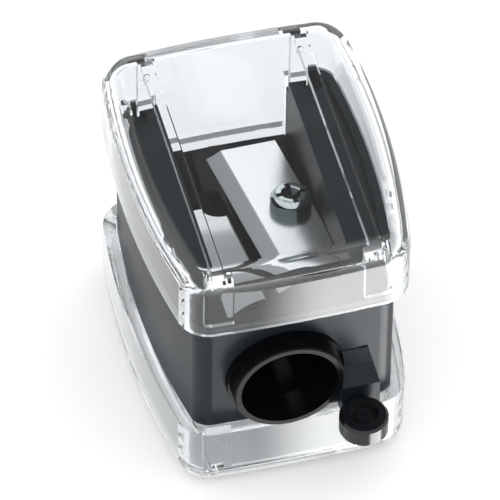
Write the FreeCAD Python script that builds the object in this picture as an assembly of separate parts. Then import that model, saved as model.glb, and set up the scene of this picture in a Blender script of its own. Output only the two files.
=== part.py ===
"""Container pencil sharpener: a black housing between two clear covers.

Millimetres. The origin is the centre of the underside, +Z is up, and the
pencil goes in from the front, which faces -Y.
"""
import FreeCAD, Part
import math
import os

from FreeCAD import Placement, Rotation, Vector

# ---- overall sizes -------------------------------------------------------
HEIGHT = 28.0               # table to the top of the upper cover
SHELL_LENGTH = 30.0         # front to rear over both bowed ends
SHELL_WIDTH = 24.2          # at the widest place of the bowed sides
FRONT_WIDTH = 20.2          # between the sharp front corners
REAR_WIDTH = 22.4           # between the sharp rear corners
FRONT_BOW = 0.3             # how far the front end bows out
REAR_BOW = 0.5
FRONT_CORNER_R = 3.0
REAR_CORNER_R = 3.2

# ---- the two clear covers, which are the same moulding -------------------
COVER_HEIGHT = 7.2          # plate to rim
COVER_WALL = 1.2
COVER_PLATE = 1.2
COVER_EDGE_R = 2.0          # outside rounding between plate and wall
COVER_INNER_R = 0.8
RIB_SPACING = 14.4          # between the middles of the two long ribs
RIB_WIDTH = 1.1
RIB_DEPTH = 0.8
LEG_THICKNESS = 0.7
FRONT_LEG_WIDTH = 2.4
REAR_LEG_WIDTH = 1.6
REAR_LEG_REACH = 1.3        # how far a rear leg drops past the rim
TONGUE_GAP = 0.1            # between the two rear tongues, at mid height
TONGUE_MARGIN = 0.1         # tongue edge to the wall of the channel
BUMP_R = 0.35
BUMP_HEIGHT = 0.2
BUMP_DROP = 2.2             # plate to the middle of a bump

# ---- housing -------------------------------------------------------------
COVER_CLEARANCE = 0.1       # cover wall to housing, and leg to notch
SPIGOT = 0.5                # how far the housing enters each cover
LIP_THICKNESS = 0.8
WING_DROP = 0.6             # spigot edge down to the flat of a wing
WING_THICKNESS = 1.2
SIDE_WALL = 1.2
FRONT_WALL = 1.3
CHANNEL_WIDTH = 12.4        # between the two side pods
CHANNEL_WALL = 1.0
DIMPLE_R = 0.95             # round recess near the rear of each wing
DIMPLE_DEPTH = 0.7
DIMPLE_X = 8.3
DIMPLE_SETBACK = 3.1        # rear end of the covers to the recess
HOLDER_X = 5.65             # middle of the block, a little outside the stick
HOLDER_WIDTH = 3.6          # block that holds the cleaning stick
HOLDER_LENGTH = 1.5         # how far it stands out of the front wall
HOLDER_HEIGHT = 3.2
HOLDER_FLOOR = 0.25         # lower rim to the underside of the block
HOLDER_SLOPE = 3.4          # height of its sloping top
HOLDER_SIDE_CUT = 0.8
STICK_TUBE_WALL = 0.8
STICK_TUBE_END = -0.3       # y where the stick's tube ends

# ---- sharpener core ------------------------------------------------------
AXIS_X = -1.1               # pencil axis, which runs along Y
AXIS_Z = 12.8
BORE_R = 4.5
ENTRY_LENGTH = 3.0          # straight stretch at the mouth
TIP_R = 0.6
CONE_END = 12.0             # y where the cone reaches TIP_R
COLLAR_R = 5.1
COLLAR_BASE_R = 5.4
COLLAR_STAND = 1.9          # collar face in front of the housing
COLLAR_BASE_STAND = 0.5
COLLAR_BREAK = 0.12         # broken edge of the collar face
CORE_FIT = 0.05             # core to housing, on each side
FLANGE_R = 5.9
FLANGE_THICKNESS = 1.0
GUIDE_WALL = 1.2
GUIDE_FULL_END = -8.0       # y up to which the guide is a whole ring
THROAT_OFFSET = 0.5         # cutting edge to the open side of the guide
THROAT_LEAN = 17.0          # degrees, the open side slopes in under the blade
WEB_FRONT = 7.4             # y where the rear web starts
WEB_TOP = 13.0
WEB_THICKNESS = 1.5
BED_BOTTOM = 11.0
BOSS_R = 2.0
BOSS_DEPTH = 4.6

# ---- blade and screw -----------------------------------------------------
BLADE_LENGTH = 19.0
BLADE_FLAT = 5.3            # width of the flat top
BLADE_BEVEL = 1.4           # width of the ground bevel
BLADE_THICKNESS = 0.8
BLADE_EDGE = 0.08           # thickness left at the cutting edge
BLADE_BACK = 1.95           # hole to the blunt edge
BLADE_TURN = 5.4            # degrees, front end towards +X
BLADE_ROLL = 4.0            # degrees, blunt edge down
BLADE_BITE = 0.05           # how far the blade enters the cone
BLADE_POCKET_GAP = 0.15
HOLE_R = 1.15
SCREW_X = 3.8
SCREW_Y = 2.8
SCREW_R = 1.0
SCREW_LENGTH = 4.6          # under the head
SCREW_HEAD_R = 1.93
SCREW_HEAD_HEIGHT = 1.5
SCREW_HEAD_ROUND = 0.7
CROSS_LENGTH = 2.9
CROSS_WIDTH = 0.5
CROSS_DEPTH = 0.8
THREAD_BITE = 0.05          # thread in plastic, shown as an overlap

# ---- cleaning stick ------------------------------------------------------
STICK_X = 5.3
STICK_Z = 8.65
STICK_R = 0.75
STICK_TIP_R = 0.45
STICK_TAPER = 3.0
STICK_CLEARANCE = 0.06
STICK_END = 0.4             # y of its tip
BUTTON_R = 2.25
BUTTON_THICKNESS = 1.8
BUTTON_GAP = 0.15           # button to holder
BUTTON_CHAMFER = 0.22
BUTTON_PIT_R = 1.3
BUTTON_PIT_DEPTH = 0.4
BUTTON_STUD_R = 0.75
BUTTON_STUD_DROP = 0.15     # stud top below the button's face
BUTTON_EYE_R = 0.35
PIP_R = 0.3
PIP_HEIGHT = 0.2

# ---- places worked out from the sizes above ------------------------------
RIM_TOP = HEIGHT - COVER_HEIGHT
MIDDLE = HEIGHT / 2
FRONT_Y = -SHELL_LENGTH / 2
REAR_Y = SHELL_LENGTH / 2
BODY_INSET = COVER_WALL + COVER_CLEARANCE
BODY_TOP = RIM_TOP + SPIGOT
BODY_BOTTOM = HEIGHT - BODY_TOP
WING_TOP = BODY_TOP - WING_DROP
WALL_OUT_Y = FRONT_Y + BODY_INSET
WALL_IN_Y = WALL_OUT_Y + FRONT_WALL
CHANNEL_HALF = CHANNEL_WIDTH / 2
CORE_HALF = CHANNEL_HALF - CORE_FIT
COLLAR_FACE_Y = WALL_OUT_Y - COLLAR_STAND
ENTRY_END = COLLAR_FACE_Y + ENTRY_LENGTH
CONE_SLOPE = (BORE_R - TIP_R) / (CONE_END - ENTRY_END)
HOLDER_BOTTOM = COVER_HEIGHT + HOLDER_FLOOR
HOLDER_FRONT_Y = WALL_OUT_Y - HOLDER_LENGTH
BUTTON_Y = HOLDER_FRONT_Y - BUTTON_GAP - BUTTON_R
FAR = 60.0                  # larger than the object, for cutting tools
Z_AXIS = Vector(0, 0, 1)
Y_AXIS = Vector(0, 1, 0)


# ---- shared helpers ------------------------------------------------------
def box(x0, x1, y0, y1, z0, z1):
    return Part.makeBox(x1 - x0, y1 - y0, z1 - z0, Vector(x0, y0, z0))


def arc(a, b, c):
    return Part.Arc(Vector(*a, 0), Vector(*b, 0), Vector(*c, 0)).toShape()


def sharp_outline():
    """Plan of a cover before its corners are rounded: four shallow arcs."""
    front, rear = FRONT_Y + FRONT_BOW, REAR_Y - REAR_BOW
    middle = (front + rear) / 2
    fw, mw, rw = FRONT_WIDTH / 2, SHELL_WIDTH / 2, REAR_WIDTH / 2
    edges = [
        arc((-fw, front), (0, FRONT_Y), (fw, front)),
        arc((fw, front), (mw, middle), (rw, rear)),
        arc((rw, rear), (0, REAR_Y), (-rw, rear)),
        arc((-rw, rear), (-mw, middle), (-fw, front)),
    ]
    return Part.Wire(edges)


def prism(inset, z0, z1):
    """Upright solid on the plan of the covers, moved in by inset."""
    wire = sharp_outline()
    if inset > 0:
        wire = wire.makeOffset2D(-inset)
    solid = Part.Face(wire).extrude(Vector(0, 0, z1 - z0))
    solid.translate(Vector(0, 0, z0))
    for sign, radius in ((-1, FRONT_CORNER_R - inset), (1, REAR_CORNER_R - inset)):
        corners = [e for e in solid.Edges if is_upright(e) and e.CenterOfMass.y * sign > 0]
        solid = solid.makeFillet(max(radius, COVER_CLEARANCE), corners)
    return solid


def is_upright(edge):
    a, b = edge.Vertexes[0].Point, edge.Vertexes[-1].Point
    return abs(a.x - b.x) < 1e-6 and abs(a.y - b.y) < 1e-6 and abs(a.z - b.z) > 1e-6


def edges_at(solid, z):
    return [e for e in solid.Edges
            if abs(e.BoundBox.ZMin - z) < 1e-6 and abs(e.BoundBox.ZMax - z) < 1e-6]


def ring(inset_out, inset_in, z0, z1):
    return prism(inset_out, z0, z1).cut(prism(inset_in, z0 - 1, z1 + 1))


def along_y(radius, y0, y1, x, z, end_radius=None):
    """Cylinder or cone about an axis that runs along Y."""
    if end_radius is None:
        return Part.makeCylinder(radius, y1 - y0, Vector(x, y0, z), Y_AXIS)
    return Part.makeCone(radius, end_radius, y1 - y0, Vector(x, y0, z), Y_AXIS)


def mirrored_x(solid):
    return solid.mirror(Vector(0, 0, 0), Vector(1, 0, 0))


def both_sides(solid):
    return solid.fuse(mirrored_x(solid))


def turned_over(solid):
    """The same moulding the other way up, about the object's middle."""
    copy = solid.copy()
    copy.rotate(Vector(0, 0, MIDDLE), Y_AXIS, 180)
    return copy


# ---- clear covers --------------------------------------------------------
def cover_leg(width, rear, z0, z1, inset_out):
    """Flat leg down the inside of an end wall, under the rib."""
    wall = ring(inset_out, COVER_WALL + LEG_THICKNESS, z0, z1)
    middle = RIB_SPACING / 2
    y0, y1 = (0, FAR) if rear else (-FAR, 0)
    return wall.common(box(middle - width / 2, middle + width / 2, y0, y1, z0, z1))


def cover_bump():
    """Small round stop on a rear leg."""
    y_face = REAR_Y - COVER_WALL - LEG_THICKNESS
    start = Vector(RIB_SPACING / 2, y_face - REAR_BOW, HEIGHT - COVER_PLATE - BUMP_DROP)
    return Part.makeCylinder(BUMP_R, REAR_BOW + BUMP_HEIGHT, start, Y_AXIS)


def upper_cover():
    shell = prism(0, MIDDLE + TONGUE_GAP / 2, HEIGHT)
    shell = shell.makeFillet(COVER_EDGE_R, edges_at(shell, HEIGHT))
    ceiling = HEIGHT - COVER_PLATE
    hollow = prism(COVER_WALL, MIDDLE - 1, ceiling)
    hollow = hollow.makeFillet(COVER_INNER_R, edges_at(hollow, ceiling))
    shell = shell.cut(hollow)
    tongue_half = CHANNEL_HALF - TONGUE_MARGIN
    below_rim = box(-FAR, FAR, -FAR, FAR, 0, RIM_TOP)
    tongue_space = box(-tongue_half, tongue_half, 0, FAR, 0, RIM_TOP)
    shell = shell.cut(below_rim.cut(tongue_space))

    rib = box(RIB_SPACING / 2 - RIB_WIDTH / 2, RIB_SPACING / 2 + RIB_WIDTH / 2,
              -FAR, FAR, ceiling - RIB_DEPTH, ceiling + COVER_PLATE / 3)
    half_wall = COVER_WALL / 2
    rib = rib.common(prism(half_wall, MIDDLE, HEIGHT))
    buried = ceiling + COVER_PLATE / 3
    front_leg = cover_leg(FRONT_LEG_WIDTH, False, BODY_TOP + COVER_CLEARANCE, buried, half_wall)
    rear_leg = cover_leg(REAR_LEG_WIDTH, True, RIM_TOP, buried, half_wall)
    rear_foot = cover_leg(REAR_LEG_WIDTH, True, RIM_TOP - REAR_LEG_REACH,
                          RIM_TOP + COVER_CLEARANCE, COVER_WALL)
    for piece in (rib, front_leg, rear_leg, rear_foot, cover_bump()):
        shell = shell.fuse(both_sides(piece))
    return shell.removeSplitter()


# ---- housing -------------------------------------------------------------
def wing_recess():
    """Lowers each wing inside the lip that enters the upper cover."""
    inside = prism(BODY_INSET + LIP_THICKNESS, WING_TOP, BODY_TOP + 1)
    inside = inside.common(box(-FAR, FAR, WALL_IN_Y, FAR, WING_TOP, BODY_TOP + 1))
    end_half = RIB_SPACING / 2 + REAR_LEG_WIDTH / 2
    open_end = box(-end_half, end_half, 0, FAR, WING_TOP, BODY_TOP + 1)
    return inside.fuse(open_end)


def pod_pocket():
    """Hollow of the right-hand pod, open underneath."""
    top = WING_TOP - WING_THICKNESS
    pocket = prism(BODY_INSET + SIDE_WALL, BODY_BOTTOM - 1, top)
    return pocket.common(box(CHANNEL_HALF + CHANNEL_WALL, FAR, WALL_IN_Y, FAR,
                             BODY_BOTTOM - 1, top))


def leg_notch():
    """Takes the foot of a rear leg; open to the channel and upwards."""
    depth = COVER_WALL + LEG_THICKNESS + COVER_CLEARANCE
    floor = RIM_TOP - REAR_LEG_REACH - COVER_CLEARANCE
    edge = ring(0, depth, floor, BODY_TOP + 1)
    x1 = RIB_SPACING / 2 + REAR_LEG_WIDTH / 2 + COVER_CLEARANCE
    return edge.common(box(0, x1, 0, FAR, floor, BODY_TOP + 1))


def stick_holder():
    """Block with a sloping top on the front wall."""
    x0, x1 = HOLDER_X - HOLDER_WIDTH / 2, HOLDER_X + HOLDER_WIDTH / 2
    back = WALL_OUT_Y + FRONT_WALL / 2
    shoulder = HOLDER_BOTTOM + HOLDER_HEIGHT
    profile = [(back, HOLDER_BOTTOM), (HOLDER_FRONT_Y, HOLDER_BOTTOM),
               (HOLDER_FRONT_Y, shoulder),
               (WALL_OUT_Y - HOLDER_LENGTH / 4, shoulder + HOLDER_SLOPE / 2),
               (WALL_OUT_Y, shoulder + HOLDER_SLOPE), (back, shoulder + HOLDER_SLOPE)]
    points = [Vector(x0, y, z) for y, z in profile + profile[:1]]
    block = Part.Face(Part.makePolygon(points)).extrude(Vector(x1 - x0, 0, 0))
    top = shoulder + HOLDER_SLOPE
    corner = [Vector(x1, back, shoulder), Vector(x1, HOLDER_FRONT_Y - 1, shoulder),
              Vector(x1, HOLDER_FRONT_Y - 1, top + 1), Vector(x1, back, top + 1)]
    side = Part.Face(Part.makePolygon(corner + corner[:1])).extrude(Vector(-FAR, 0, 0))
    tilt = math.degrees(math.atan2(HOLDER_SIDE_CUT, HOLDER_SLOPE))
    side.rotate(Vector(x1, 0, shoulder), Y_AXIS, -tilt)
    lower = block.common(box(-FAR, FAR, -FAR, FAR, 0, shoulder))
    upper = block.common(box(-FAR, FAR, -FAR, FAR, shoulder, FAR)).common(side)
    return lower.fuse(upper)


def blade_pocket():
    """Room for the blunt edge of the blade in the channel's wall."""
    gap = BLADE_POCKET_GAP
    room = box(0, BLADE_BACK + gap, -BLADE_LENGTH / 2 - gap, BLADE_LENGTH / 2 + gap,
               -gap, BLADE_THICKNESS + gap)
    room.Placement = blade_placement()
    return room


def housing():
    body = prism(BODY_INSET, BODY_BOTTOM, BODY_TOP)
    body = body.cut(box(-CHANNEL_HALF, CHANNEL_HALF, WALL_IN_Y, FAR, 0, HEIGHT))
    body = body.cut(wing_recess())
    body = body.cut(both_sides(pod_pocket()))
    notches = both_sides(leg_notch())
    body = body.cut(notches.fuse(turned_over(notches)))
    dimple = Part.makeCylinder(DIMPLE_R, DIMPLE_DEPTH + 1,
                               Vector(DIMPLE_X, REAR_Y - DIMPLE_SETBACK, WING_TOP - DIMPLE_DEPTH))
    body = body.cut(both_sides(dimple))
    body = body.fuse(stick_holder())
    tube_start = WALL_IN_Y - FRONT_WALL / 2
    body = body.fuse(along_y(STICK_R + STICK_TUBE_WALL, tube_start, STICK_TUBE_END,
                             STICK_X, STICK_Z))
    body = body.cut(along_y(STICK_R + STICK_CLEARANCE, HOLDER_FRONT_Y - 1, FAR,
                            STICK_X, STICK_Z).common(box(-FAR, FAR, -FAR, STICK_TUBE_END + 1,
                                                         0, HEIGHT)))
    body = body.cut(along_y(COLLAR_BASE_R + CORE_FIT, FRONT_Y - 1, WALL_IN_Y, AXIS_X, AXIS_Z))
    body = body.cut(blade_pocket())
    return body.removeSplitter()


# ---- sharpener core ------------------------------------------------------
def bore_radius(y):
    return TIP_R + CONE_SLOPE * (CONE_END - y)


def blade_placement():
    """Frame of the blade: x towards its blunt edge, y to the rear, z off its
    underside, with the origin at the screw."""
    roll = math.tan(math.radians(BLADE_ROLL))
    normal = Vector(roll, CONE_SLOPE, 1)
    normal.normalize()
    turn = math.radians(BLADE_TURN)
    rearward = Vector(-math.sin(turn), math.cos(turn), 0)
    rearward.z = -(normal.x * rearward.x + normal.y * rearward.y) / normal.z
    rearward.normalize()
    sideways = rearward.cross(normal)
    height = AXIS_Z + bore_radius(SCREW_Y) - BLADE_BITE - roll * (SCREW_X - AXIS_X)
    return Placement(Vector(SCREW_X, SCREW_Y, height), Rotation(sideways, rearward, normal, "ZYX"))


def above_blade_plane():
    """Everything over the plane that the blade lies on."""
    room = box(-FAR, FAR, -FAR, FAR, 0, FAR)
    room.Placement = blade_placement()
    return room


def blade_room():
    """The space over the blade's own footprint."""
    edge = BLADE_BACK - BLADE_FLAT - BLADE_BEVEL
    half = BLADE_LENGTH / 2 + BLADE_POCKET_GAP
    room = box(edge, FAR, -half, half, 0, FAR)
    room.Placement = blade_placement()
    return room


def throat_cut():
    """Opens the guide on the side where shavings leave."""
    edge = BLADE_BACK - BLADE_FLAT - BLADE_BEVEL - THROAT_OFFSET
    room = box(edge - FAR, edge, -FAR, FAR, -FAR, FAR)
    room.rotate(Vector(edge, 0, 0), Y_AXIS, -THROAT_LEAN)
    room.Placement = blade_placement().multiply(room.Placement)
    return room.common(box(-FAR, FAR, GUIDE_FULL_END, WEB_FRONT, -FAR, FAR))


def sharpener_core():
    guide_end = CONE_END + GUIDE_WALL
    front_r = AXIS_X + CORE_HALF
    guide = along_y(front_r, WALL_IN_Y, guide_end, AXIS_X, AXIS_Z, TIP_R + GUIDE_WALL)
    bed = box(AXIS_X, CORE_HALF, GUIDE_FULL_END, REAR_Y, BED_BOTTOM, AXIS_Z + BORE_R)
    boss = Part.makeCylinder(BOSS_R, BOSS_DEPTH, Vector(0, 0, -BOSS_DEPTH))
    boss.Placement = blade_placement()
    solid = guide.fuse(bed).cut(above_blade_plane().common(
        box(-FAR, FAR, GUIDE_FULL_END, FAR, 0, FAR)))
    solid = solid.fuse(boss).cut(throat_cut())
    web = box(-CORE_HALF, CORE_HALF, WEB_FRONT, REAR_Y, WEB_TOP - WEB_THICKNESS, WEB_TOP)
    web = web.cut(blade_room())
    solid = solid.fuse(web).common(prism(BODY_INSET, 0, HEIGHT))

    collar = along_y(COLLAR_R, COLLAR_FACE_Y, WALL_IN_Y, AXIS_X, AXIS_Z)
    collar = collar.makeChamfer(COLLAR_BREAK, [e for e in collar.Edges
                                               if abs(e.BoundBox.YMax - COLLAR_FACE_Y) < 1e-6])
    base = along_y(COLLAR_BASE_R, WALL_OUT_Y - COLLAR_BASE_STAND, WALL_IN_Y, AXIS_X, AXIS_Z)
    flange = along_y(FLANGE_R, WALL_IN_Y, WALL_IN_Y + FLANGE_THICKNESS, AXIS_X, AXIS_Z)
    flange = flange.common(box(-CORE_HALF, CORE_HALF, -FAR, FAR, 0, HEIGHT))
    solid = solid.fuse(collar).fuse(base).fuse(flange)

    entry = along_y(BORE_R, COLLAR_FACE_Y - 1, ENTRY_END, AXIS_X, AXIS_Z)
    cone = along_y(BORE_R, ENTRY_END, CONE_END, AXIS_X, AXIS_Z, TIP_R)
    solid = solid.cut(entry).cut(cone)
    pilot = Part.makeCylinder(SCREW_R - THREAD_BITE, SCREW_LENGTH, Vector(0, 0, -SCREW_LENGTH))
    pilot.Placement = blade_placement()
    return solid.cut(pilot).removeSplitter()


# ---- blade and screw -----------------------------------------------------
def blade():
    edge = BLADE_BACK - BLADE_FLAT - BLADE_BEVEL
    half = BLADE_LENGTH / 2
    plate = box(edge, BLADE_BACK, -half, half, 0, BLADE_THICKNESS)
    above = [Vector(edge, -half, BLADE_EDGE), Vector(edge + BLADE_BEVEL, -half, BLADE_THICKNESS),
             Vector(edge, -half, BLADE_THICKNESS)]
    wedge = Part.Face(Part.makePolygon(above + above[:1])).extrude(Vector(0, BLADE_LENGTH, 0))
    hole = Part.makeCylinder(HOLE_R, BLADE_THICKNESS * 3, Vector(0, 0, -BLADE_THICKNESS))
    plate = plate.cut(wedge).cut(hole)
    plate.Placement = blade_placement()
    return plate


def blade_screw():
    head = Part.makeCylinder(SCREW_HEAD_R, SCREW_HEAD_HEIGHT, Vector(0, 0, BLADE_THICKNESS))
    top = BLADE_THICKNESS + SCREW_HEAD_HEIGHT
    head = head.makeFillet(SCREW_HEAD_ROUND, edges_at(head, top))
    shank = Part.makeCylinder(SCREW_R, SCREW_LENGTH - SCREW_R, Vector(0, 0, BLADE_THICKNESS), -Z_AXIS)
    point = Part.makeCone(SCREW_R, SCREW_R / 2, SCREW_R,
                          Vector(0, 0, BLADE_THICKNESS - SCREW_LENGTH + SCREW_R), -Z_AXIS)
    screw = head.fuse(shank).fuse(point)
    for turn in (0, 90):
        slot = box(-CROSS_LENGTH / 2, CROSS_LENGTH / 2, -CROSS_WIDTH / 2, CROSS_WIDTH / 2,
                   top - CROSS_DEPTH, top + 1)
        slot.rotate(Vector(0, 0, 0), Z_AXIS, turn)
        screw = screw.cut(slot)
    pit = Part.makeCone(CROSS_WIDTH / 2, CROSS_LENGTH / 3, CROSS_DEPTH, Vector(0, 0, top - CROSS_DEPTH))
    screw = screw.cut(pit).removeSplitter()
    screw.Placement = blade_placement()
    return screw


# ---- cleaning stick ------------------------------------------------------
def cleaning_stick():
    low = STICK_Z - BUTTON_THICKNESS / 2
    high = STICK_Z + BUTTON_THICKNESS / 2
    centre = Vector(STICK_X, BUTTON_Y, low)
    button = Part.makeCylinder(BUTTON_R, BUTTON_THICKNESS, centre)
    button = button.makeChamfer(BUTTON_CHAMFER, edges_at(button, high))
    floor = Vector(STICK_X, BUTTON_Y, high - BUTTON_PIT_DEPTH)
    button = button.cut(Part.makeCylinder(BUTTON_PIT_R, BUTTON_PIT_DEPTH + 1, floor))
    button = button.fuse(Part.makeCylinder(BUTTON_STUD_R, BUTTON_PIT_DEPTH - BUTTON_STUD_DROP, floor))
    button = button.cut(Part.makeCylinder(BUTTON_EYE_R, BUTTON_PIT_DEPTH + 1, floor))
    pip = Part.makeCylinder(PIP_R, PIP_HEIGHT,
                            Vector(STICK_X, BUTTON_Y - BUTTON_R + 2 * PIP_R, low), -Z_AXIS)
    neck_start = BUTTON_Y + BUTTON_R / 2
    taper_start = STICK_END - STICK_TAPER
    shaft = along_y(STICK_R, neck_start, taper_start, STICK_X, STICK_Z)
    tip = along_y(STICK_R, taper_start, STICK_END, STICK_X, STICK_Z, STICK_TIP_R)
    inside_pit = Part.makeCylinder(BUTTON_PIT_R, HEIGHT, floor)
    shaft = shaft.cut(inside_pit)
    return button.fuse(pip).fuse(shaft).fuse(tip).removeSplitter()


def main():
    os.makedirs("parts", exist_ok=True)
    cover = upper_cover()
    parts = {
        "lower_cover": turned_over(cover),
        "housing": housing(),
        "sharpener_core": sharpener_core(),
        "blade": blade(),
        "blade_screw": blade_screw(),
        "cleaning_stick": cleaning_stick(),
        "upper_cover": cover,
    }
    for name, shape in parts.items():
        shape.exportStep(os.path.join("parts", name + ".step"))
        span = shape.BoundBox
        print(f"{name:16s} solids {len(shape.Solids)} valid {shape.isValid()}"
              f" volume {shape.Volume:8.2f}"
              f" box {span.XLength:.2f} x {span.YLength:.2f} x {span.ZLength:.2f}")


main()
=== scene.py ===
# %% [markdown]
# # A pencil sharpener between two clear covers
# Seven moulded and stamped pieces: two clear covers, a black housing, the black
# core that holds the blade, the blade, its screw and a cleaning stick. Their
# shapes come ready from the CAD frame. Blender's work is what they are made of,
# and clear plastic shows mostly what surrounds it, so the studio matters as much
# as the materials do.

import math

import bmesh
import bpy
from mathutils import Matrix, Vector

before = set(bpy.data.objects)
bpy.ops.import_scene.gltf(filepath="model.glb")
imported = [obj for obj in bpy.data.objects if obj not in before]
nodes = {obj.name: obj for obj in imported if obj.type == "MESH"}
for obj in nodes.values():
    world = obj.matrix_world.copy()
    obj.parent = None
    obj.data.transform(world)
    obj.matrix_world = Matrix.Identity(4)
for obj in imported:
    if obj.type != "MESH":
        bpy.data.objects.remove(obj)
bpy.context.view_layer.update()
MM = 0.001
print("nodes:", ", ".join(sorted(nodes)))

# %% [markdown]
# ## Shader maths as Python
# A finish is a sum of small effects: grain, wear, streaks. Wiring Math nodes by
# hand hides that sum. This class wraps one socket and gives it Python's
# operators, so the formula stays readable in the code.


# %% A socket with operators
class Signal:
    def __init__(self, graph, socket):
        self.graph = graph
        self.socket = socket

    def _math(self, operation, first, second=0.0):
        terms = {0: first, 1: second}
        return self.graph.node("ShaderNodeMath", {"operation": operation}, terms)[0]

    def __add__(self, other):
        return self._math("ADD", self, other)

    def __radd__(self, other):
        return self._math("ADD", other, self)

    def __sub__(self, other):
        return self._math("SUBTRACT", self, other)

    def __rsub__(self, other):
        return self._math("SUBTRACT", other, self)

    def __mul__(self, other):
        return self._math("MULTIPLY", self, other)

    def __rmul__(self, other):
        return self._math("MULTIPLY", other, self)


OPERATORS = [name for name in vars(Signal) if name.endswith(("add__", "sub__", "mul__"))]
print("operators on a signal:", ", ".join(OPERATORS))

# %% [markdown]
# ## Adding nodes
# Every node comes from one method: its type, then its settings, which can change
# what sockets it has, then its sockets. The few nodes that every finish needs get
# a short name of their own, so that a finish reads as what it does.


# %% A node and its tree
class Made:
    """A node that was just added; its outputs are read by name or number."""

    def __init__(self, graph, item):
        self.graph = graph
        self.item = item

    def __getitem__(self, output):
        return Signal(self.graph, self.item.outputs[output])


class Graph:
    """The node tree of one material or of the world."""

    def __init__(self, tree):
        self.tree = tree
        tree.nodes.clear()

    def node(self, kind, settings=None, sockets=None):
        item = self.tree.nodes.new(kind)
        for name, value in (settings or {}).items():
            setattr(item, name, value)
        for name, value in (sockets or {}).items():
            if isinstance(value, Signal):
                self.tree.links.new(value.socket, item.inputs[name])
            else:
                item.inputs[name].default_value = value
        return Made(self, item)

    def place(self):
        """Position on the piece in metres, which moves with the piece."""
        return self.node("ShaderNodeTexCoord")["Object"]

    def noise(self, scale, detail, vector=None):
        """Cloudy noise; scale is in cells per metre."""
        where = vector if vector is not None else self.place()
        made = self.node("ShaderNodeTexNoise", None,
                         {"Vector": where, "Scale": scale, "Detail": detail, "Roughness": 0.6})
        return made[0]

    def stretched(self, scale, turn=0.0):
        """Position scaled per axis after a turn about Z, for streaks."""
        made = self.node("ShaderNodeMapping", {"vector_type": "POINT"},
                         {"Vector": self.place(), "Rotation": (0.0, 0.0, turn), "Scale": scale})
        return made[0]

    def vector(self, operation, first, second=None):
        sockets = {0: first} if second is None else {0: first, 1: second}
        return self.node("ShaderNodeVectorMath", {"operation": operation}, sockets)

    def part_of(self, vector, axis):
        return self.node("ShaderNodeSeparateXYZ", None, {0: vector})[axis]

    def mix(self, mask, low, high):
        """Colour low where mask is 0, high where it is 1."""
        made = self.node("ShaderNodeMix", {"data_type": "RGBA"},
                         {0: mask, 6: low, 7: high})
        return made[2]

    def smooth(self, value, low, high):
        """0 below low, 1 above high, eased between."""
        made = self.node("ShaderNodeMapRange", {"interpolation_type": "SMOOTHSTEP"},
                         {"Value": value, "From Min": low, "From Max": high})
        return made["Result"]

    def bump(self, height, depth, strength):
        made = self.node("ShaderNodeBump", None,
                         {"Height": height, "Distance": depth, "Strength": strength})
        return made["Normal"]

    def surface(self, **sockets):
        """The finish itself: Base_Color=... sets or links Base Color."""
        named = {name.replace("_", " "): value for name, value in sockets.items()}
        shader = self.node("ShaderNodeBsdfPrincipled", None, named)
        self.node("ShaderNodeOutputMaterial", None, {"Surface": shader[0]})


HELPERS = [name for name in vars(Graph) if not name.startswith("_")]
print("helpers of a graph:", ", ".join(HELPERS))

# %% [markdown]
# ## Dressing a piece
# The pieces arrive with plain materials. Changing a mesh's material slot leaves
# its shape alone.


# %% New finish, and a piece to wear it
def new_finish(name):
    material = bpy.data.materials.new(name)
    material.use_nodes = True
    return material, Graph(material.node_tree)


def dress(node, material):
    """Gives a CAD node its finish; the mesh itself stays as it is."""
    target = nodes[node]
    target.data.materials.clear()
    target.data.materials.append(material)
    count = len(material.node_tree.nodes)
    print(f"{node:15s} -> {material.name}, {count} shader nodes")


print("pieces to dress:", len(nodes))


# %% [markdown]
# ## Clear covers
# Both covers are one moulding in clear polystyrene. Polished plastic is not
# perfect: the melt leaves slow waves in the surface and handling leaves a faint
# haze. The waves are about a centimetre long and microns high, enough to bend
# what is seen through a wall. The colour is slightly grey: light loses a little
# at each wall, which is what makes a clear cover visible at all.


# %% Clear plastic
WAVES = 110.0                 # noise cells per metre
HAZE = 900.0
WAVE_HEIGHT = 0.003 * MM


def clear_plastic(name):
    material, g = new_finish(name)
    waves = g.noise(WAVES, 1.0)
    haze = g.noise(HAZE, 3.0)
    tint = g.mix(haze, (0.905, 0.925, 0.935, 1), (0.940, 0.955, 0.962, 1))
    g.surface(Base_Color=tint, Roughness=0.006 + haze * 0.010, IOR=1.5,
              Transmission_Weight=1.0, Normal=g.bump(waves, WAVE_HEIGHT, 0.5))
    return material


dress("lower_cover", clear_plastic("clear_lower"))
dress("upper_cover", clear_plastic("clear_upper"))

# %% [markdown]
# ## Black housing
# The housing's mould was spark-eroded, which leaves a fine even grain that
# sparkles under a lamp. Two sizes of noise make the grain, and a much slower one
# shifts the gloss a little from place to place. The brightest specks of the grain
# are painted a lighter colour: painted glints that stand in for the sparkle. The
# grain and the painted glints are on the upright walls only. The flat wings and the
# stick's holder are smooth, so two masks take them off there: one by which way the
# surface faces, one by how far forward it is.

# %% Where the housing is grained
GRAIN, FINE_GRAIN = 8500.0, 17000.0      # noise cells per metre
HOLDER_START = -13.9 * MM                # y, just in front of the front wall
MASK_EDGE = 0.05 * MM

material, g = new_finish("housing_black")
grain = g.noise(GRAIN, 2.0) * 0.7 + g.noise(FINE_GRAIN, 1.0) * 0.3
# The brightest grain specks, later painted lighter as glints
painted_glint_specks = g.smooth(grain, 0.48, 0.66)
cloud = g.noise(160.0, 3.0)
upright = g.part_of(g.node("ShaderNodeTexCoord")["Normal"], "Z")
wing = g.smooth(upright, 0.80, 0.95)
forward = g.part_of(g.place(), "Y")
holder = 1.0 - g.smooth(forward, HOLDER_START - MASK_EDGE, HOLDER_START + MASK_EDGE)
walls = (1.0 - wing) * (1.0 - holder)
etched = grain * walls
painted_sparkle = painted_glint_specks * walls
print("housing masks so far:", len(material.node_tree.nodes), "nodes")
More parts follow.
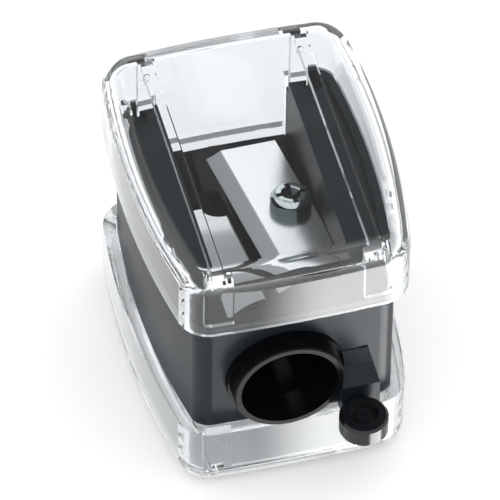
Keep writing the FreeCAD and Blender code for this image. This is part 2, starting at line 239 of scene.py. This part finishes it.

# %% Spark-grained black with painted glints
black = g.mix(cloud, (0.004, 0.0085, 0.012, 1), (0.007, 0.013, 0.017, 1))
# The lighter specks are painted glints, not a colour of the plastic itself
g.surface(Base_Color=g.mix(painted_sparkle, black, (0.026, 0.034, 0.040, 1)),
          Roughness=0.30 + cloud * 0.06 + etched * 0.12, IOR=1.5,
          Specular_IOR_Level=0.27, Normal=g.bump(etched, 0.004 * MM, 0.5))
dress("housing", material)

# %% [markdown]
# ## Sharpener core
# The core is moulded in a polished tool, so it is smoother than the housing.
# Turning that tool left faint rings about the pencil's axis: a sine of the
# distance from that axis draws them with no texture to wrap round the cone.

# %% Satin black with turned rings
PENCIL_AXIS = Vector((-1.1, 0.0, 12.8)) * MM
RING_RATE = 21000.0           # radians per metre, so a ring every 0.3 mm

material, g = new_finish("core_black")
from_pencil = g.vector("SUBTRACT", g.place(), PENCIL_AXIS)[0]
across = g.vector("MULTIPLY", from_pencil, (1.0, 0.0, 1.0))[0]
radius = g.vector("LENGTH", across)["Value"]
rings = g.node("ShaderNodeMath", {"operation": "SINE"}, {0: radius * RING_RATE})[0]
scuff = g.noise(700.0, 4.0)
g.surface(Base_Color=g.mix(scuff, (0.0025, 0.003, 0.0035, 1), (0.0045, 0.005, 0.006, 1)),
          Roughness=0.15 + scuff * 0.12, IOR=1.5, Specular_IOR_Level=0.09,
          Normal=g.bump(rings * 0.1 + scuff, 0.003 * MM, 0.3))
dress("sharpener_core", material)

# %% [markdown]
# ## Blade
# The flat is polished along its length and the bevel is ground across it, so the
# two catch the light differently. Both are one steel, yet the flat is painted
# near-white as a painted sheen and the bevel grey as painted shade. One steel with
# a mask keeps them one piece, as they are. The mask is the distance across the
# blade, measured from the screw.

# %% Flat and bevel told apart
BLADE_TURN = math.radians(5.4)
SCREW_PLACE = Vector((3.8, 2.8, 14.5)) * MM
BEVEL_START = -3.35 * MM      # across from the screw to the edge of the flat
GROUND_EDGE = 0.03 * MM

material, g = new_finish("blade_steel")
from_screw = g.vector("SUBTRACT", g.place(), SCREW_PLACE)[0]
sideways = (math.cos(BLADE_TURN), math.sin(BLADE_TURN), 0.0)
reach = g.vector("DOT_PRODUCT", from_screw, sideways)["Value"]
flat_mask = g.smooth(reach, BEVEL_START - GROUND_EDGE, BEVEL_START + GROUND_EDGE)
print("bevel starts, mm from the screw:", round(BEVEL_START / MM, 2))

# %% Polished flat and ground bevel, with painted sheen and painted shade
along = g.noise(1.0, 3.0, g.stretched((9000.0, 260.0, 9000.0), -BLADE_TURN))
cross = g.noise(1.0, 3.0, g.stretched((500.0, 14000.0, 500.0), -BLADE_TURN))
streaks = along * flat_mask + cross * (1.0 - flat_mask)
# The flat's near-white colour is a painted sheen and the bevel's grey is painted shade
flat_painted_sheen = g.mix(streaks, (0.86, 0.86, 0.87, 1), (0.95, 0.95, 0.955, 1))
bevel_painted_shade = g.mix(streaks, (0.46, 0.47, 0.475, 1), (0.54, 0.55, 0.555, 1))
g.surface(Base_Color=g.mix(flat_mask, bevel_painted_shade, flat_painted_sheen),
          Metallic=1.0, Roughness=0.19 + streaks * 0.08 + (1.0 - flat_mask) * 0.10,
          Normal=g.bump(streaks, 0.0009 * MM, 0.5))
dress("blade", material)

# %% [markdown]
# ## Blade screw
# The screw is plated, so it mirrors the studio. The side of the head and the cross
# are painted darker than the domed top, as painted shade. The height along the
# screw's own axis and the distance from it tell the three apart, so the finish
# needs no separate parts.

# %% Cross, side and dome of the screw's head
HEAD_TOP = 2.3 * MM           # above the blade's underside
SCREW_AXIS = Vector((0.069, 0.156, 0.985))
CROSS_DEEP, CROSS_SHALLOW = 0.20 * MM, 0.05 * MM
CROSS_IN, CROSS_OUT = 1.48 * MM, 1.58 * MM
SIDE_LOW, SIDE_HIGH = 0.62 * MM, 0.40 * MM

material, g = new_finish("plated_screw")
spots = g.noise(2600.0, 4.0)
seat = g.vector("SUBTRACT", g.place(), SCREW_PLACE)[0]
lift = g.vector("DOT_PRODUCT", seat, SCREW_AXIS)["Value"]
outward = g.vector("CROSS_PRODUCT", seat, SCREW_AXIS)[0]
from_axis = g.vector("LENGTH", outward)["Value"]
sunk = 1.0 - g.smooth(lift, HEAD_TOP - CROSS_DEEP, HEAD_TOP - CROSS_SHALLOW)
inner = 1.0 - g.smooth(from_axis, CROSS_IN, CROSS_OUT)
recess_shade_mask = sunk * inner
side = 1.0 - g.smooth(lift, HEAD_TOP - SIDE_LOW, HEAD_TOP - SIDE_HIGH)
print("side of the head starts, mm under its top:", round(SIDE_LOW / MM, 2))

# %% Plated screw, with painted shade on its side and in its cross
plating = g.mix(spots, (0.50, 0.56, 0.555, 1), (0.78, 0.82, 0.815, 1))
# The side of the head is painted dark: painted shade
plating_with_side_shade = g.mix(side, plating, (0.10, 0.135, 0.14, 1))
# The cross recess is painted darker still: painted shade
g.surface(Base_Color=g.mix(recess_shade_mask, plating_with_side_shade, (0.07, 0.085, 0.085, 1)),
          Metallic=1.0, Roughness=0.08 + spots * 0.10 + recess_shade_mask * 0.15,
          Normal=g.bump(spots, 0.003 * MM, 0.3))
dress("blade_screw", material)

# %% [markdown]
# ## Cleaning stick
# The stick is handled with every use, so its button is rubbed glossier than the
# core. Fine scuffs break the gloss up without hiding the button's rings.

# %% Polished black stick
material, g = new_finish("stick_black")
scuff = g.noise(1500.0, 4.0)
g.surface(Base_Color=g.mix(scuff, (0.004, 0.005, 0.006, 1), (0.007, 0.008, 0.010, 1)),
          Roughness=0.13 + scuff * 0.12, IOR=1.5, Specular_IOR_Level=0.5,
          Normal=g.bump(scuff, 0.004 * MM, 0.35))
dress("cleaning_stick", material)

# %% [markdown]
# ## Floor
# The sharpener stands on a pale sweep that runs out of sight. A very faint
# mottle keeps it from looking like a hole in the picture. Reflections skip the
# floor, so that polished walls mirror the room below the horizon instead.

# %% Pale sweep
FLOOR_HALF = 3.0
FLOOR_DROP = 0.02 * MM

sweep = bpy.data.meshes.new("floor")
shape = bmesh.new()
bmesh.ops.create_grid(shape, x_segments=8, y_segments=8, size=FLOOR_HALF)
shape.to_mesh(sweep)
shape.free()
floor = bpy.data.objects.new("floor", sweep)
bpy.context.scene.collection.objects.link(floor)
floor.location.z = -FLOOR_DROP
floor.visible_glossy = False
material, g = new_finish("pale_sweep")
mottle = g.noise(60.0, 3.0)
g.surface(Base_Color=g.mix(mottle, (0.93, 0.93, 0.935, 1), (0.95, 0.95, 0.955, 1)),
          Roughness=0.7 + mottle * 0.1, Specular_IOR_Level=0.2,
          Emission_Color=(1.0, 1.0, 1.0, 1), Emission_Strength=0.22)
sweep.materials.append(material)
print("floor faces:", len(sweep.polygons), "at z, m:", floor.location.z)

# %% [markdown]
# ## Studio
# A bright room on all sides makes clear plastic vanish. Its edges appear where
# they bend the view towards something darker, so the room is white with a few
# greyer zones: a belt round the horizon, the low part, and one flag that keeps
# the flat top from mirroring light over the black wings. Each zone is a direction
# and two angles. One strong soft box, low in front, veils the front walls.

# %% A soft zone in the room
world = bpy.data.worlds.new("studio")
bpy.context.scene.world = world
world.use_nodes = True
g = Graph(world.node_tree)
heading = g.node("ShaderNodeTexCoord")["Generated"]


def zone(direction, edge_degrees, core_degrees):
    """1 inside a soft round patch of the room, 0 outside."""
    aim = Vector(direction).normalized()
    facing = g.node("ShaderNodeVectorMath", {"operation": "DOT_PRODUCT"},
                    {0: heading, 1: aim})["Value"]
    return g.smooth(facing, math.cos(math.radians(edge_degrees)),
                    math.cos(math.radians(core_degrees)))


print("room so far:", len(world.node_tree.nodes), "nodes")

# %% The room as one formula
height = g.part_of(heading, "Z")
belt = g.smooth(height, -0.34, -0.08) * (1.0 - g.smooth(height, 0.12, 0.36))
top_flag = zone((0.177, 0.63, 0.757), 13, 7)
rear_left_grey = zone((-0.30, 0.83, 0.47), 25, 14)
rear_right_box = zone((0.32, 0.83, 0.40), 24, 12)
front_box = zone((0.50, -0.52, -0.70), 22, 18)
low = 1.0 - g.smooth(height, -0.80, -0.45)
brightness = (1.16 - belt * 0.30 - top_flag * 0.88 - rear_left_grey * 0.50
              + rear_right_box * 0.20 + front_box * 9.0 - low * 0.24)
light = g.node("ShaderNodeBackground", None,
               {"Color": (0.985, 0.992, 1.0, 1), "Strength": brightness})
g.node("ShaderNodeOutputWorld", None, {"Surface": light[0]})
print("studio nodes:", len(world.node_tree.nodes))

# %% [markdown]
# ## Camera
# A long lens from well back, above the front left corner. A small roll and shift
# frame the object, and the rest is plain trigonometry on two angles.

# %% Where the camera looks from
AZIMUTH, ELEVATION, ROLL = (math.radians(a) for a in (-15.5, 48.6, 1.0))
DISTANCE = 0.6
LOOK_AT = Vector((0, 0, 14 * MM))

toward = Vector((math.sin(AZIMUTH) * math.cos(ELEVATION),
                 -math.cos(AZIMUTH) * math.cos(ELEVATION), math.sin(ELEVATION)))
level = Vector((math.cos(AZIMUTH), math.sin(AZIMUTH), 0))
steep = toward.cross(level)
right = level * math.cos(ROLL) + steep * math.sin(ROLL)
above = steep * math.cos(ROLL) - level * math.sin(ROLL)
print("looking from", [round(v, 3) for v in toward])

# %% Camera

lens = bpy.data.cameras.new("camera")
lens.lens = 475.2
lens.sensor_width = 36.0
lens.shift_x, lens.shift_y = -0.0154, -0.001
lens.clip_start, lens.clip_end = 0.01, 20.0
camera = bpy.data.objects.new("camera", lens)
bpy.context.scene.collection.objects.link(camera)
camera.matrix_world = (Matrix.Translation(LOOK_AT + toward * DISTANCE)
                       @ Matrix((right, above, toward)).transposed().to_4x4())
bpy.context.scene.camera = camera
print("camera at", [round(v, 4) for v in camera.location])

# %% [markdown]
# ## Light through clear walls
# One look through both covers crosses a dozen surfaces. The usual limit on
# bounces would end such a path in black, so it is raised here.

# %% Bounces and tone
CLEAR_BOUNCES = 26

scene = bpy.context.scene
scene.cycles.max_bounces = CLEAR_BOUNCES
scene.cycles.transmission_bounces = CLEAR_BOUNCES
scene.cycles.glossy_bounces = CLEAR_BOUNCES
scene.cycles.diffuse_bounces = 8
scene.cycles.transparent_max_bounces = 16
scene.view_settings.view_transform = "Standard"
print("bounces:", scene.cycles.max_bounces, "tone:", scene.view_settings.view_transform)

# %% [markdown]
# ## Sizes and finish
# Finishes change how the pieces look and never how large they are.
